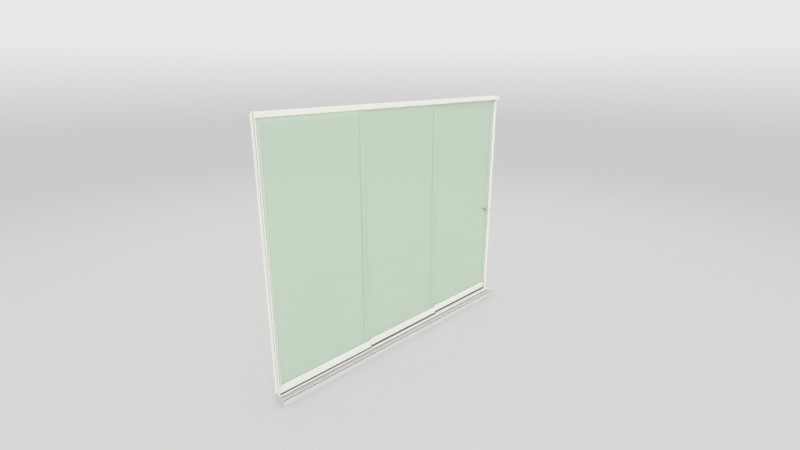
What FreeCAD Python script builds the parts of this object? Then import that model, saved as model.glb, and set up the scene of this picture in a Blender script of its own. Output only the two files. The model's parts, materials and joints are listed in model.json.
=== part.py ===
import FreeCAD, Part
import math
import os
from FreeCAD import Vector

# Glass sliding patio door: three frameless glass leaves on three parallel tracks.
# The left leaf is stationary, and the middle and right leaves slide to the left and stack behind it.
# Millimetres. X runs along the door, Y from outdoors (front) to indoors (rear), Z up.
# The origin is on the underside of the threshold, at its middle.

# Overall size
DOOR_WIDTH = 3000.0
DOOR_HEIGHT = 2424.0

# Leaves
LEAF_OVERLAP = 63.0
GLASS = 8.0
TRACK_PITCH = 17.5
GLASS_ARRIS = 1.0
GLASS_TOP_BELOW_HEAD_TOP = 20.0
LEFT_EDGE_GAP = 1.5
RIGHT_EDGE_CLEARANCE = 5.0
MOVING_CLEARANCE = 5.0

# Glass shoe, the aluminium profile that carries a leaf along its bottom edge
SHOE_THICKNESS = 12.5
SHOE_HEIGHT = 77.0
SHOE_WALL = 1.4
SHOE_SEAT_HEIGHT = 34.5
SHOE_SEAT_THICKNESS = 2.0
SHOE_CAP = 2.0
SHOE_EDGE_RADIUS = 0.8
CAP_TO_GLASS_GAP = 0.2
LINER_UNDER_GLASS = 1.0
LINER_LIP = 1.5
SHOE_ABOVE_TRACK = 11.0
BRUSH_LEDGE = 0.8

# Brushes under the shoe
BRUSH_THICKNESS = 1.8
BRUSH_HELD = 1.5
BRUSH_ABOVE_TRACK = 1.5

# Roller carriages in the shoe
CARRIAGE_LENGTH = 96.0
CARRIAGE_HEIGHT = 32.0
CARRIAGE_SIDE_GAP = 0.2
CARRIAGE_FROM_END = 60.0
CARRIAGE_LEAD_IN = 9.0
ROLLER_RADIUS = 15.0
ROLLER_WIDTH = 5.0
ROLLER_SPACING = 44.0
ROLLER_WELL_GAP = 1.5
ROLLER_SIDE_GAP = 0.2
ROLLER_SEAT_GAP = 0.3
ROLLER_GROOVE_DEPTH = 1.5
ROLLER_RIM_SLOPE = 0.5
AXLE_RADIUS = 2.5
AXLE_GAP = 0.1

# Running ridges on the floor track
RIDGE_WIDTH = 4.0
RIDGE_HEIGHT = 3.0
RIDGE_ROUND = 1.2
RIDGE_END_GAP = 2.0

# Threshold
NOSE_HEIGHT = 66.0
NOSE_WIDTH = 13.0
NOSE_SLOPE = 4.0
DRAIN_FLOOR = 56.0
DRAIN_ROUND = 5.0
TRACK_SEAT = 71.0
TRACK_TOP = 82.5
TRACK_FACE_FROM_FRONT = 54.5
SHOE_FACE_FROM_FRONT = 63.5
THRESHOLD_WALL = 3.0
SHADOW_GROOVE_HEIGHT = 6.0
SHADOW_GROOVE_DEPTH = 7.0
SHADOW_GROOVE_BELOW_TOP = 1.8
THRESHOLD_CAP = 2.5
NOSE_INNER_ROUND = 1.5
NOSE_OUTER_ROUND = 1.0
CHAMBER_ROUND = 2.0
DRAIN_SLOTS = 4
DRAIN_SLOT_STEP = 700.0
DRAIN_SLOT_LENGTH = 24.0
DRAIN_SLOT_WIDTH = 5.0
DRAIN_SLOT_ROUND = 2.0
TRACK_PLATE = 3.0
TRACK_LEG = 2.5
TRACK_EDGE_ROUND = 1.5

# Head track
HEAD_HEIGHT = 40.0
HEAD_FACE_TO_SHOE_FACE = 8.0
HEAD_WALL = 2.0
HEAD_TOP_PLATE = 4.0
HEAD_CAP = 2.0
HEAD_BRUSH_HEIGHT = 6.0
HEAD_BRUSH_GAP = 1.0
HEAD_BRUSH_LIP = 1.0
HEAD_BRUSH_LIP_REACH = 1.2
HEAD_EDGE_ROUND = 1.0
CHANNEL_ROUND = 1.5

# Guide channel on the top edge of each leaf
GUIDE_WALL = 1.75
GUIDE_HEIGHT = 11.0
GUIDE_TOP = 2.0
GUIDE_ROUND = 1.0

# Side profiles
LEFT_WALL = 4.0
LEFT_LIP = 8.0
LEFT_FLANGE_REACH = 41.0
LEFT_GROOVE_WIDTH = 5.0
LEFT_GROOVE_DEPTH = 2.5
LEFT_GROOVE_BEHIND_FACE = 13.0
LEFT_FLANGE_GAP = 0.5
SIDE_EDGE_ROUND = 0.8
GASKET_ABOVE_LINER = 1.0
RIGHT_WALL = 2.0
FLANGE = 2.0
RIGHT_FRONT_FLANGE_REACH = 43.0
RIGHT_REAR_FLANGE_REACH = 60.0
RIGHT_FACE_BEHIND_HEAD_FACE = 32.0
RIGHT_NOTCH_GAP = 0.5
SIDE_BRUSH_FROM_EDGE = 1.0
SIDE_BRUSH_WIDTH = 6.0

# End stops on the tracks
STOP_LENGTH = 18.0
STOP_WIDTH = 10.0
STOP_HEIGHT = 22.0
STOP_BUFFER = 6.0
STOP_RIDGE_GAP = 0.3
STOP_BUFFER_INSET = 1.0
STOP_EDGE_ROUND = 1.0
STOP_SCREW_RADIUS = 1.8
STOP_COUNTERBORE_RADIUS = 3.2
STOP_COUNTERBORE_DEPTH = 4.0

# Carry-along catches at the overlaps
CATCH_LENGTH = 16.0
CATCH_HEIGHT = 40.0
CATCH_REACH = 3.0
CATCH_GAP = 0.5
CATCH_FROM_SHOE_BOTTOM = 18.0
CATCH_RAMP = 6.0
CATCH_EDGE = 1.0

# Knob on the right leaf
KNOB_FROM_LEAF_EDGE = 103.0
KNOB_ABOVE_GROUND = 1127.0
KNOB_RADIUS = 15.0
KNOB_LENGTH = 25.0
KNOB_BEVEL = 2.0
NECK_RADIUS = 5.0
NECK_LENGTH = 28.0
ROSETTE_RADIUS = 17.0
ROSETTE_THICKNESS = 5.0
ROSETTE_BEVEL = 1.2
KNOB_BOLT_RADIUS = 4.0
GLASS_HOLE_RADIUS = 8.0

# Fixing holes
FIXING_RADIUS = 3.0
FIXING_NEAR = 400.0
FIXING_FAR = 1200.0
SIDE_FIXING_LOW = 500.0
SIDE_FIXING_HIGH = 1900.0

# Screw ports along the extrusions and the countersunk holes of the caps that are screwed to them
PORT_RADIUS = 2.1
PORT_WALL = 1.5
PORT_SLOT = 2.0
CAP_HOLE_RADIUS = 2.2
COUNTERSINK_RADIUS = 3.6

# How far a cutting shape runs past what it cuts, and how far joined shapes run into each other
CUT_PAST = 1.0
JOIN_BITE = 1.0

# Places worked out from the sizes
LEFT_PLANE = -DOOR_WIDTH / 2
RIGHT_PLANE = DOOR_WIDTH / 2
LEAVES_START = LEFT_PLANE + LEFT_WALL + LEFT_EDGE_GAP
LEAVES_END = RIGHT_PLANE - RIGHT_WALL - RIGHT_EDGE_CLEARANCE
LEAF_WIDTH = (LEAVES_END - LEAVES_START + 2 * LEAF_OVERLAP) / 3
LEAF_STEP = LEAF_WIDTH - LEAF_OVERLAP
THRESHOLD_DEPTH = (SHOE_FACE_FROM_FRONT + SHOE_THICKNESS + 2 * TRACK_PITCH
                   + MOVING_CLEARANCE + FLANGE)
FRONT = -THRESHOLD_DEPTH / 2
REAR = THRESHOLD_DEPTH / 2
TRACK_FACE = FRONT + TRACK_FACE_FROM_FRONT
FIRST_LEAF_Y = FRONT + SHOE_FACE_FROM_FRONT + SHOE_THICKNESS / 2
LEAF_Y = [FIRST_LEAF_Y + TRACK_PITCH * row for row in range(3)]
LEAF_X = [LEAVES_START + LEAF_STEP * row for row in range(3)]
SHOE_BOTTOM = TRACK_TOP + SHOE_ABOVE_TRACK
SHOE_TOP = SHOE_BOTTOM + SHOE_HEIGHT
SHOE_SEAT = SHOE_BOTTOM + SHOE_SEAT_HEIGHT + SHOE_SEAT_THICKNESS
SHOE_CAVITY = SHOE_THICKNESS - 2 * SHOE_WALL
GLASS_BOTTOM = SHOE_SEAT + LINER_UNDER_GLASS
GLASS_TOP = DOOR_HEIGHT - GLASS_TOP_BELOW_HEAD_TOP
HEAD_BOTTOM = DOOR_HEIGHT - HEAD_HEIGHT
HEAD_FACE = FIRST_LEAF_Y - SHOE_THICKNESS / 2 - HEAD_FACE_TO_SHOE_FACE
RIDGE_TOP = TRACK_TOP + RIDGE_HEIGHT
ROLLER_Z = RIDGE_TOP + ROLLER_SEAT_GAP - ROLLER_GROOVE_DEPTH + ROLLER_RADIUS
RIGHT_FACE = HEAD_FACE + RIGHT_FACE_BEHIND_HEAD_FACE
KNOB_X = LEAVES_END - KNOB_FROM_LEAF_EDGE
DRAIN_MIDDLE = (FRONT + NOSE_WIDTH + NOSE_SLOPE + TRACK_FACE) / 2
THRESHOLD_REAR_WEB = (TRACK_FACE + REAR) / 2
HEAD_CEILING = DOOR_HEIGHT - HEAD_TOP_PLATE

# Screw ports as (y, z, way that the port's slot opens along Y)
PORT_INSET = PORT_RADIUS + PORT_WALL / 2
PORT_LOW = THRESHOLD_WALL + PORT_INSET
THRESHOLD_PORTS = [(FRONT + THRESHOLD_WALL + PORT_INSET, PORT_LOW, 1),
                   (REAR - THRESHOLD_WALL - PORT_INSET, PORT_LOW, -1),
                   (REAR - THRESHOLD_WALL - PORT_INSET, TRACK_SEAT - PORT_LOW, -1)]
HEAD_PORTS = [(HEAD_FACE + HEAD_WALL + PORT_INSET, HEAD_CEILING - PORT_INSET, 1),
              (REAR - HEAD_WALL - PORT_INSET, HEAD_CEILING - PORT_INSET, -1)]

LEFT, MIDDLE, RIGHT = range(3)

# Travel: the middle leaf stops short of the left flange, and the right leaf's knob short of the middle leaf
MIDDLE_TRAVEL = LEAF_X[MIDDLE] - (LEFT_PLANE + LEFT_FLANGE_REACH + MOVING_CLEARANCE)
RIGHT_TRAVEL = (KNOB_X - ROSETTE_RADIUS - MOVING_CLEARANCE) - (LEAF_X[MIDDLE] + LEAF_WIDTH)


def rounded_wire(corners, place):
    """Closed wire through corners given as (u, v, radius), put in space by place(u, v)."""
    edges = []
    starts = []
    ends = []
    middles = []
    count = len(corners)
    for number, (u, v, radius) in enumerate(corners):
        here = Vector(u, v, 0)
        before = Vector(*corners[number - 1][:2], 0) - here
        after = Vector(*corners[(number + 1) % count][:2], 0) - here
        before.normalize()
        after.normalize()
        if radius == 0:
            starts.append(here)
            ends.append(here)
            middles.append(None)
            continue
        half = before.getAngle(after) / 2
        reach = radius / math.tan(half)
        inward = before + after
        inward.normalize()
        centre = here + inward * (radius / math.sin(half))
        starts.append(here + before * reach)
        ends.append(here + after * reach)
        middles.append(centre - inward * radius)
    for number in range(count):
        following = (number + 1) % count
        if middles[number] is not None:
            arc = Part.Arc(place(starts[number]), place(middles[number]), place(ends[number]))
            edges.append(arc.toShape())
        edges.append(Part.makeLine(place(ends[number]), place(starts[following])))
    return Part.Wire(edges)


def along_x(outline, start, length, holes=()):
    """Extrusion along X of an outline in Y and Z."""
    def place(point):
        return Vector(start, point.x, point.y)
    wires = [rounded_wire(corners, place) for corners in (outline, *holes)]
    return Part.makeFace(wires, "Part::FaceMakerBullseye").extrude(Vector(length, 0, 0))


def along_z(outline, start, length):
    """Extrusion along Z of an outline in X and Y."""
    def place(point):
        return Vector(point.x, point.y, start)
    face = Part.makeFace([rounded_wire(outline, place)], "Part::FaceMakerBullseye")
    return face.extrude(Vector(0, 0, length))


def along_y(outline, start, length):
    """Extrusion along Y of an outline in X and Z."""
    def place(point):
        return Vector(point.x, start, point.y)
    face = Part.makeFace([rounded_wire(outline, place)], "Part::FaceMakerBullseye")
    return face.extrude(Vector(0, length, 0))


def block(x_range, y_range, z_range):
    """Box between the given limits."""
    corner = Vector(x_range[0], y_range[0], z_range[0])
    return Part.makeBox(x_range[1] - x_range[0], y_range[1] - y_range[0],
                        z_range[1] - z_range[0], corner)


def rectangle(u_range, v_range, radius=0):
    """Corners of a rectangle for an outline, with one radius."""
    return [(u_range[0], v_range[0], radius), (u_range[1], v_range[0], radius),
            (u_range[1], v_range[1], radius), (u_range[0], v_range[1], radius)]


def with_ports(profile, ports, start, length):
    """Adds C-shaped screw ports along an extrusion, each merged with the walls beside it."""
    for y, z, way in ports:
        place = Vector(start, y, z)
        profile = profile.fuse(Part.makeCylinder(PORT_RADIUS + PORT_WALL, length, place, Vector(1, 0, 0)))
        slot = block((start, start + length), sorted((y, y + way * (PORT_RADIUS + PORT_WALL + CUT_PAST))),
                     (z - PORT_SLOT / 2, z + PORT_SLOT / 2))
        profile = profile.cut(slot.fuse(Part.makeCylinder(PORT_RADIUS, length, place, Vector(1, 0, 0))))
    return profile.removeSplitter()


def with_countersinks(plate, ports, outer_x, inward):
    """Cuts a countersunk hole over each port, from the plate's outer face at outer_x and along inward."""
    depth = COUNTERSINK_RADIUS - CAP_HOLE_RADIUS
    length = LEFT_WALL + 2 * CUT_PAST
    for y, z, _ in ports:
        hole = Part.makeCylinder(CAP_HOLE_RADIUS, length, Vector(outer_x - inward * CUT_PAST, y, z),
                                 Vector(inward, 0, 0))
        cone = Part.makeCone(COUNTERSINK_RADIUS, CAP_HOLE_RADIUS, depth, Vector(outer_x, y, z),
                             Vector(inward, 0, 0))
        plate = plate.cut(hole).cut(cone)
    return plate


def save(name, *solids):
    """Writes one node, as one solid or as several that don't touch."""
    shape = solids[0] if len(solids) == 1 else Part.makeCompound(list(solids))
    shape.exportStep("parts/" + name + ".step")


def threshold_outline():
    """Section of the threshold base, from its lower front corner."""
    groove_top = NOSE_HEIGHT - SHADOW_GROOVE_BELOW_TOP
    groove_bottom = groove_top - SHADOW_GROOVE_HEIGHT
    return [(FRONT, 0, 0), (REAR, 0, 0), (REAR, TRACK_SEAT, 0), (TRACK_FACE, TRACK_SEAT, 0),
            (TRACK_FACE, DRAIN_FLOOR, DRAIN_ROUND),
            (FRONT + NOSE_WIDTH + NOSE_SLOPE, DRAIN_FLOOR, DRAIN_ROUND),
            (FRONT + NOSE_WIDTH, NOSE_HEIGHT, NOSE_INNER_ROUND),
            (FRONT, NOSE_HEIGHT, NOSE_OUTER_ROUND),
            (FRONT, groove_top, 0), (FRONT + SHADOW_GROOVE_DEPTH, groove_top, 0),
            (FRONT + SHADOW_GROOVE_DEPTH, groove_bottom, 0), (FRONT, groove_bottom, 0)]


def threshold_base():
    """Hollow base of the threshold, with its nose, its drain channel and its track seat."""
    wall = THRESHOLD_WALL
    web = TRACK_FACE
    rear_web = THRESHOLD_REAR_WEB
    start = LEFT_PLANE + THRESHOLD_CAP
    length = DOOR_WIDTH - 2 * THRESHOLD_CAP
    chambers = [
        rectangle((FRONT + wall, web - wall / 2), (wall, DRAIN_FLOOR - wall), CHAMBER_ROUND),
        rectangle((web + wall / 2, rear_web - wall / 2), (wall, TRACK_SEAT - wall),
                  CHAMBER_ROUND),
        rectangle((rear_web + wall / 2, REAR - wall), (wall, TRACK_SEAT - wall), CHAMBER_ROUND)]
    base = along_x(threshold_outline(), start, length, chambers)
    base = with_ports(base, THRESHOLD_PORTS, start, length)
    for x in (-FIXING_FAR, -FIXING_NEAR, FIXING_NEAR, FIXING_FAR):
        hole = Part.makeCylinder(FIXING_RADIUS, DRAIN_FLOOR + 2 * CUT_PAST,
                                 Vector(x, DRAIN_MIDDLE, -CUT_PAST))
        base = base.cut(hole)
    for number in range(DRAIN_SLOTS):
        x = (number - (DRAIN_SLOTS - 1) / 2) * DRAIN_SLOT_STEP
        slot = along_z(rectangle((x - DRAIN_SLOT_LENGTH / 2, x + DRAIN_SLOT_LENGTH / 2),
                                 (DRAIN_MIDDLE - DRAIN_SLOT_WIDTH / 2, DRAIN_MIDDLE + DRAIN_SLOT_WIDTH / 2),
                                 DRAIN_SLOT_ROUND), -CUT_PAST, DRAIN_FLOOR + 2 * CUT_PAST)
        base = base.cut(slot)
    return base


def threshold_cap(start, outer_x, inward):
    """Plate that closes one end of the threshold and of the floor track."""
    outline = threshold_outline()
    outline[2] = (REAR, TRACK_TOP, 0)
    outline[3] = (TRACK_FACE, TRACK_TOP, TRACK_EDGE_ROUND)
    return with_countersinks(along_x(outline, start, THRESHOLD_CAP), THRESHOLD_PORTS, outer_x, inward)


def floor_track():
    """Track plate on the threshold, with a running ridge over a leg for each leaf."""
    start = LEFT_PLANE + THRESHOLD_CAP
    length = DOOR_WIDTH - 2 * THRESHOLD_CAP
    under = TRACK_TOP - TRACK_PLATE
    outline = [(REAR, TRACK_SEAT, 0), (REAR, TRACK_TOP, 0), (TRACK_FACE, TRACK_TOP, TRACK_EDGE_ROUND),
               (TRACK_FACE, TRACK_SEAT, 0), (TRACK_FACE + TRACK_LEG, TRACK_SEAT, 0),
               (TRACK_FACE + TRACK_LEG, under, 0)]
    for y in LEAF_Y:
        outline += [(y - TRACK_LEG / 2, under, 0), (y - TRACK_LEG / 2, TRACK_SEAT, 0),
                    (y + TRACK_LEG / 2, TRACK_SEAT, 0), (y + TRACK_LEG / 2, under, 0)]
    outline += [(REAR - TRACK_LEG, under, 0), (REAR - TRACK_LEG, TRACK_SEAT, 0)]
    track = along_x(outline, start, length)
    ridge_start = LEFT_PLANE + LEFT_WALL + RIDGE_END_GAP
    ridge_end = RIGHT_PLANE - RIGHT_WALL - RIDGE_END_GAP
    for y in LEAF_Y:
        ridge = [(y - RIDGE_WIDTH / 2, TRACK_TOP - JOIN_BITE, 0),
                 (y + RIDGE_WIDTH / 2, TRACK_TOP - JOIN_BITE, 0),
                 (y + RIDGE_WIDTH / 2, RIDGE_TOP, RIDGE_ROUND),
                 (y - RIDGE_WIDTH / 2, RIDGE_TOP, RIDGE_ROUND)]
        track = track.fuse(along_x(ridge, ridge_start, ridge_end - ridge_start))
    return track.removeSplitter()


def head_channels():
    """Front and rear limits of the three channels in the head track."""
    half = TRACK_PITCH / 2
    channels = []
    for row, y in enumerate(LEAF_Y):
        front = HEAD_FACE + HEAD_WALL if row == 0 else y - half + HEAD_WALL / 2
        rear = REAR - HEAD_WALL if row == 2 else y + half - HEAD_WALL / 2
        channels.append((front, rear))
    return channels


def head_track():
    """Head track with one downward channel for the top edge of each leaf."""
    start = LEFT_PLANE + LEFT_WALL
    length = DOOR_WIDTH - LEFT_WALL - HEAD_CAP
    pocket_low = HEAD_BOTTOM + HEAD_BRUSH_LIP
    pocket_high = pocket_low + HEAD_BRUSH_HEIGHT
    lip_top = pocket_high + HEAD_BRUSH_LIP
    outline = [(REAR, DOOR_HEIGHT, 0), (HEAD_FACE, DOOR_HEIGHT, HEAD_EDGE_ROUND),
               (HEAD_FACE, HEAD_BOTTOM, 0)]
    for front, rear in head_channels():
        front_lip = front + HEAD_BRUSH_LIP_REACH
        rear_lip = rear - HEAD_BRUSH_LIP_REACH
        outline += [(front_lip, HEAD_BOTTOM, 0), (front_lip, pocket_low, 0), (front, pocket_low, 0),
                    (front, pocket_high, 0), (front_lip, pocket_high, 0), (front_lip, lip_top, 0),
                    (front, lip_top, 0), (front, HEAD_CEILING, CHANNEL_ROUND),
                    (rear, HEAD_CEILING, CHANNEL_ROUND), (rear, lip_top, 0), (rear_lip, lip_top, 0),
                    (rear_lip, pocket_high, 0), (rear, pocket_high, 0), (rear, pocket_low, 0),
                    (rear_lip, pocket_low, 0), (rear_lip, HEAD_BOTTOM, 0)]
    outline.append((REAR, HEAD_BOTTOM, 0))
    track = with_ports(along_x(outline, start, length), HEAD_PORTS, start, length)
    for x in (-FIXING_FAR, -FIXING_NEAR, FIXING_NEAR, FIXING_FAR):
        hole = Part.makeCylinder(FIXING_RADIUS, HEAD_TOP_PLATE + 2 * CUT_PAST,
                                 Vector(x, LEAF_Y[MIDDLE], HEAD_CEILING - CUT_PAST))
        track = track.cut(hole)
    return track


def head_cap():
    """Plate that closes the right end of the head track."""
    outline = [(HEAD_FACE, HEAD_BOTTOM, 0), (REAR, HEAD_BOTTOM, 0), (REAR, DOOR_HEIGHT, 0),
               (HEAD_FACE, DOOR_HEIGHT, HEAD_EDGE_ROUND)]
    return with_countersinks(along_x(outline, RIGHT_PLANE - HEAD_CAP, HEAD_CAP), HEAD_PORTS, RIGHT_PLANE, -1)


def head_brushes():
    """Pile strips between the lips at the mouth of each head channel, on both sides of the glass."""
    strips = []
    x_range = (LEFT_PLANE + LEFT_FLANGE_REACH, RIGHT_PLANE - RIGHT_REAR_FLANGE_REACH)
    for y, (front, rear) in zip(LEAF_Y, head_channels()):
        z_range = (HEAD_BOTTOM + HEAD_BRUSH_LIP, HEAD_BOTTOM + HEAD_BRUSH_LIP + HEAD_BRUSH_HEIGHT)
        strips.append(block(x_range, (front, y - GLASS / 2 - HEAD_BRUSH_GAP), z_range))
        strips.append(block(x_range, (y + GLASS / 2 + HEAD_BRUSH_GAP, rear), z_range))
    return strips


def side_profile_left():
    """Side profile on the wall: a deep wall with a front lip, a flange behind the left leaf
    and a rear lip. The wall also covers the end of the head track."""
    inner = LEFT_PLANE + LEFT_WALL
    groove = HEAD_FACE + LEFT_GROOVE_BEHIND_FACE
    half = LEFT_GROOVE_WIDTH / 2
    wall = along_z([(LEFT_PLANE, HEAD_FACE, SIDE_EDGE_ROUND), (inner, HEAD_FACE, 0), (inner, REAR, 0),
                    (LEFT_PLANE, REAR, SIDE_EDGE_ROUND), (LEFT_PLANE, groove + half, 0),
                    (LEFT_PLANE + LEFT_GROOVE_DEPTH, groove + half, 0),
                    (LEFT_PLANE + LEFT_GROOVE_DEPTH, groove - half, 0),
                    (LEFT_PLANE, groove - half, 0)], TRACK_TOP, DOOR_HEIGHT - TRACK_TOP)
    flange_front = LEAF_Y[LEFT] + SHOE_THICKNESS / 2 + LEFT_FLANGE_GAP
    z_range = (TRACK_TOP, HEAD_BOTTOM)
    lip_end = LEFT_PLANE + LEFT_LIP
    front_lip = block((inner - JOIN_BITE, lip_end), (HEAD_FACE, HEAD_FACE + FLANGE), z_range)
    flange = block((inner - JOIN_BITE, LEFT_PLANE + LEFT_FLANGE_REACH),
                   (flange_front, flange_front + FLANGE), z_range)
    rear_lip = block((inner - JOIN_BITE, lip_end), (REAR - FLANGE, REAR), z_range)
    profile = wall.fuse([front_lip, flange, rear_lip]).removeSplitter()
    profile = with_countersinks(profile, HEAD_PORTS, LEFT_PLANE, 1)
    for z in (SIDE_FIXING_LOW, SIDE_FIXING_HIGH):
        hole = Part.makeCylinder(FIXING_RADIUS, LEFT_WALL + 2 * CUT_PAST,
                                 Vector(LEFT_PLANE - CUT_PAST, LEAF_Y[RIGHT], z), Vector(1, 0, 0))
        profile = profile.cut(hole)
    return profile


def side_profile_right():
    """Side profile that takes in the closing edge of the right leaf, notched over the middle ridge."""
    inner = RIGHT_PLANE - RIGHT_WALL
    front_edge = RIGHT_PLANE - RIGHT_FRONT_FLANGE_REACH
    rear_edge = RIGHT_PLANE - RIGHT_REAR_FLANGE_REACH
    profile = along_z([(RIGHT_PLANE, RIGHT_FACE, SIDE_EDGE_ROUND), (RIGHT_PLANE, REAR, SIDE_EDGE_ROUND),
                       (rear_edge, REAR, 0), (rear_edge, REAR - FLANGE, 0), (inner, REAR - FLANGE, 0),
                       (inner, RIGHT_FACE + FLANGE, 0), (front_edge, RIGHT_FACE + FLANGE, 0),
                       (front_edge, RIGHT_FACE, 0)], TRACK_TOP, HEAD_BOTTOM - TRACK_TOP)
    ridge_notch = block((front_edge - CUT_PAST, inner),
                        (RIGHT_FACE - CUT_PAST, RIGHT_FACE + FLANGE + CUT_PAST),
                        (TRACK_TOP - CUT_PAST, RIDGE_TOP + RIGHT_NOTCH_GAP))
    profile = profile.cut(ridge_notch)
    for z in (SIDE_FIXING_LOW, SIDE_FIXING_HIGH):
        hole = Part.makeCylinder(FIXING_RADIUS, RIGHT_WALL + 2 * CUT_PAST,
                                 Vector(inner - CUT_PAST, LEAF_Y[RIGHT], z), Vector(1, 0, 0))
        profile = profile.cut(hole)
    return profile


def side_gasket_left():
    """Two strips that hold the stationary edge of the left leaf in the side profile."""
    x_range = (LEFT_PLANE + LEFT_WALL, LEFT_PLANE + LEFT_LIP)
    z_range = (SHOE_TOP + LINER_LIP + GASKET_ABOVE_LINER, HEAD_BOTTOM)
    y = LEAF_Y[LEFT]
    glass_front = y - GLASS / 2
    glass_rear = y + GLASS / 2
    flange_front = y + SHOE_THICKNESS / 2 + LEFT_FLANGE_GAP
    return [block(x_range, (HEAD_FACE + FLANGE, glass_front), z_range),
            block((x_range[0] + LEFT_EDGE_GAP, x_range[1]), (glass_rear, flange_front), z_range)]


def side_brush_right():
    """Pile strips on the flanges of the right side profile, facing the glass."""
    z_range = (SHOE_TOP + LINER_LIP + MOVING_CLEARANCE, HEAD_BOTTOM)
    start = RIGHT_PLANE - RIGHT_FRONT_FLANGE_REACH + SIDE_BRUSH_FROM_EDGE
    x_range = (start, start + SIDE_BRUSH_WIDTH)
    y = LEAF_Y[RIGHT]
    front = block(x_range, (RIGHT_FACE + FLANGE, y - GLASS / 2 - HEAD_BRUSH_GAP), z_range)
    rear = block(x_range, (y + GLASS / 2 + HEAD_BRUSH_GAP, REAR - FLANGE), z_range)
    return [front, rear]


def end_stop(nose_x, y):
    """Stop block that straddles a ridge, and its rubber buffer, whose nose is at nose_x."""
    buffer_start = nose_x - STOP_BUFFER
    z_range = (TRACK_TOP, TRACK_TOP + STOP_HEIGHT)
    half = STOP_WIDTH / 2
    body = along_x([(y - half, z_range[0], 0), (y + half, z_range[0], 0),
                    (y + half, z_range[1], STOP_EDGE_ROUND), (y - half, z_range[1], STOP_EDGE_ROUND)],
                   buffer_start - STOP_LENGTH, STOP_LENGTH)
    screw = Vector(buffer_start - STOP_LENGTH / 2, y, z_range[0])
    body = body.cut(Part.makeCylinder(STOP_SCREW_RADIUS, STOP_HEIGHT + CUT_PAST, screw))
    head = Vector(screw.x, y, z_range[1] - STOP_COUNTERBORE_DEPTH)
    body = body.cut(Part.makeCylinder(STOP_COUNTERBORE_RADIUS, STOP_COUNTERBORE_DEPTH + CUT_PAST, head))
    slot_half = RIDGE_WIDTH / 2 + STOP_RIDGE_GAP
    slot = block((buffer_start - STOP_LENGTH - CUT_PAST, buffer_start + CUT_PAST),
                 (y - slot_half, y + slot_half), (TRACK_TOP - CUT_PAST, RIDGE_TOP + STOP_RIDGE_GAP))
    rubber_half = STOP_WIDTH / 2 - STOP_BUFFER_INSET
    rubber = block((buffer_start, nose_x), (y - rubber_half, y + rubber_half),
                   (SHOE_BOTTOM + STOP_BUFFER_INSET, TRACK_TOP + STOP_HEIGHT - STOP_BUFFER_INSET))
    return body.cut(slot), rubber


def glass_pane(row):
    """Toughened glass pane with ground edges."""
    y = LEAF_Y[row]
    pane = block((LEAF_X[row], LEAF_X[row] + LEAF_WIDTH), (y - GLASS / 2, y + GLASS / 2),
                 (GLASS_BOTTOM, GLASS_TOP))
    pane = pane.makeChamfer(GLASS_ARRIS, pane.Edges)
    if row == RIGHT:
        hole = Part.makeCylinder(GLASS_HOLE_RADIUS, GLASS + 2 * CUT_PAST,
                                 Vector(KNOB_X, y - GLASS / 2 - CUT_PAST, KNOB_ABOVE_GROUND),
                                 Vector(0, 1, 0))
        pane = pane.cut(hole)
    return pane


def glass_shoe(row):
    """H-shaped shoe: glass pocket above, roller space below, with a ledge over each brush."""
    y = LEAF_Y[row]
    outer = SHOE_THICKNESS / 2
    inner = SHOE_CAVITY / 2
    seat_under = SHOE_SEAT - SHOE_SEAT_THICKNESS
    ledge = inner - BRUSH_THICKNESS
    ledge_under = SHOE_BOTTOM + BRUSH_HELD
    ledge_top = ledge_under + BRUSH_LEDGE
    outline = [(y - outer, SHOE_BOTTOM, 0), (y - inner, SHOE_BOTTOM, 0), (y - inner, ledge_under, 0),
               (y - ledge, ledge_under, 0), (y - ledge, ledge_top, 0), (y - inner, ledge_top, 0),
               (y - inner, seat_under, 0), (y + inner, seat_under, 0), (y + inner, ledge_top, 0),
               (y + ledge, ledge_top, 0), (y + ledge, ledge_under, 0), (y + inner, ledge_under, 0),
               (y + inner, SHOE_BOTTOM, 0), (y + outer, SHOE_BOTTOM, 0),
               (y + outer, SHOE_TOP, SHOE_EDGE_RADIUS), (y + inner, SHOE_TOP, 0), (y + inner, SHOE_SEAT, 0),
               (y - inner, SHOE_SEAT, 0), (y - inner, SHOE_TOP, 0), (y - outer, SHOE_TOP, SHOE_EDGE_RADIUS)]
    return along_x(outline, LEAF_X[row] + SHOE_CAP, LEAF_WIDTH - 2 * SHOE_CAP)


def shoe_caps(row):
    """Plastic caps on both ends of the shoe, notched for the glass."""
    y = LEAF_Y[row]
    outer = SHOE_THICKNESS / 2
    half = GLASS / 2 + CAP_TO_GLASS_GAP
    outline = [(y - outer, SHOE_BOTTOM, 0), (y + outer, SHOE_BOTTOM, 0),
               (y + outer, SHOE_TOP, SHOE_EDGE_RADIUS), (y + half, SHOE_TOP, 0),
               (y + half, SHOE_SEAT, 0), (y - half, SHOE_SEAT, 0), (y - half, SHOE_TOP, 0),
               (y - outer, SHOE_TOP, SHOE_EDGE_RADIUS)]
    start = LEAF_X[row]
    return [along_x(outline, start, SHOE_CAP), along_x(outline, start + LEAF_WIDTH - SHOE_CAP, SHOE_CAP)]


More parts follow.
